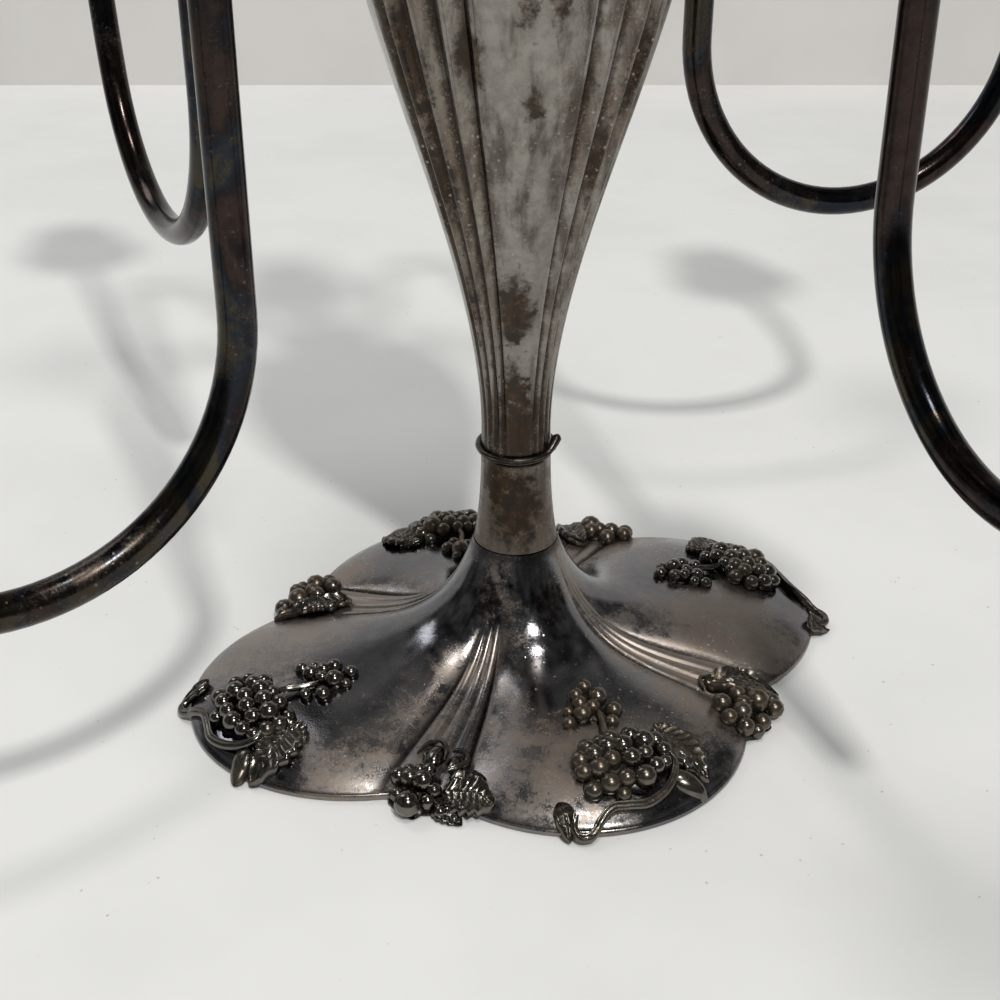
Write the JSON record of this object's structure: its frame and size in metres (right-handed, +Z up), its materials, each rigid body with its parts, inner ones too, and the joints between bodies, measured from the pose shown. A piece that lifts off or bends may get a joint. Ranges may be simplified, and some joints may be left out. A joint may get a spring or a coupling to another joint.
{
  "type": "candelabrum",
  "caption": "Tall table candelabrum: lobed foot with grape mounts, fluted baluster body, and a plug-in branch of bent tube arms round a raised centre light.",
  "frame": {"origin": "on the table, under the middle of the foot and on the axis of the body", "axes": "+Z up along the body's axis; -Y towards the viewer of the picture; +X to the viewer's right"},
  "size_m": [0.4186, 0.3986, 0.4545],
  "materials": {
    "silver_plate": "tarnished silver plate, worn polish with a pinkish brown bloom",
    "dark_casting": "cast, plated and gone nearly black, bright only on the high points",
    "tube_plate": "plated tube gone dark, with brown and blue bands",
    "ring_wire": "dark drawn wire",
    "bare_brass": "dull unplated brass",
    "rod_steel": "dull threaded steel"
  },
  "bodies": {
    "stand": {"foot": "silver_plate", "neck_collar": "silver_plate", "fluted_body": "silver_plate", "waist_ring": "ring_wire", "shoulder_cap": "silver_plate", "socket_sleeve": "bare_brass", "tie_rod": "rod_steel", "rod_nut_lower": "bare_brass", "rod_nut_upper": "bare_brass", "rod_washer": "bare_brass", "grape_mount_right": "dark_casting", "grape_mount_back": "dark_casting", "grape_mount_left": "dark_casting", "grape_mount_front": "dark_casting", "notch_mount_back_right": "dark_casting", "notch_mount_back_left": "dark_casting", "notch_mount_front_left": "dark_casting", "notch_mount_front_right": "dark_casting"},
    "seat_washer": {"seat_washer": "bare_brass"},
    "branch": {"branch_plug": "bare_brass", "branch_hub": "silver_plate", "centre_column": "silver_plate", "arm_back_right": "tube_plate", "arm_collar_back_right": "silver_plate", "tip_boss_back_right": "silver_plate", "drip_pan_back_right": "silver_plate", "candle_cup_back_right": "silver_plate", "cup_screw_back_right": "bare_brass", "arm_back_left": "tube_plate", "arm_collar_back_left": "silver_plate", "tip_boss_back_left": "silver_plate", "drip_pan_back_left": "silver_plate", "candle_cup_back_left": "silver_plate", "cup_screw_back_left": "bare_brass", "arm_front_left": "tube_plate", "arm_collar_front_left": "silver_plate", "tip_boss_front_left": "silver_plate", "drip_pan_front_left": "silver_plate", "candle_cup_front_left": "silver_plate", "cup_screw_front_left": "bare_brass", "arm_front_right": "tube_plate", "arm_collar_front_right": "silver_plate", "tip_boss_front_right": "silver_plate", "drip_pan_front_right": "silver_plate", "candle_cup_front_right": "silver_plate", "cup_screw_front_right": "bare_brass", "drip_pan_centre": "silver_plate", "candle_cup_centre": "silver_plate", "cup_screw_centre": "bare_brass"},
    "nozzle_centre": {"nozzle_centre": "silver_plate"},
    "nozzle_back_right": {"nozzle_back_right": "silver_plate"},
    "nozzle_back_left": {"nozzle_back_left": "silver_plate"},
    "nozzle_front_left": {"nozzle_front_left": "silver_plate"},
    "nozzle_front_right": {"nozzle_front_right": "silver_plate"}
  },
  "joints": [
    {"name": "branch_turn", "type": "hinge", "parent": "stand", "child": "seat_washer", "pos_m": [0, 0, 0.3255], "axis": [0, 0, 1], "continuous": true},
    {"name": "branch_lift", "type": "slide", "parent": "seat_washer", "child": "branch", "axis": [0, 0, 1], "range_m": [0, 0.045]},
    {"name": "nozzle_lift_centre", "type": "slide", "parent": "branch", "child": "nozzle_centre", "axis": [0, 0, 1], "range_m": [0, 0.03]},
    {"name": "nozzle_lift_back_right", "type": "slide", "parent": "branch", "child": "nozzle_back_right", "axis": [0, 0, 1], "range_m": [0, 0.03]},
    {"name": "nozzle_lift_back_left", "type": "slide", "parent": "branch", "child": "nozzle_back_left", "axis": [0, 0, 1], "range_m": [0, 0.03]},
    {"name": "nozzle_lift_front_left", "type": "slide", "parent": "branch", "child": "nozzle_front_left", "axis": [0, 0, 1], "range_m": [0, 0.03]},
    {"name": "nozzle_lift_front_right", "type": "slide", "parent": "branch", "child": "nozzle_front_right", "axis": [0, 0, 1], "range_m": [0, 0.03]}
  ]
}
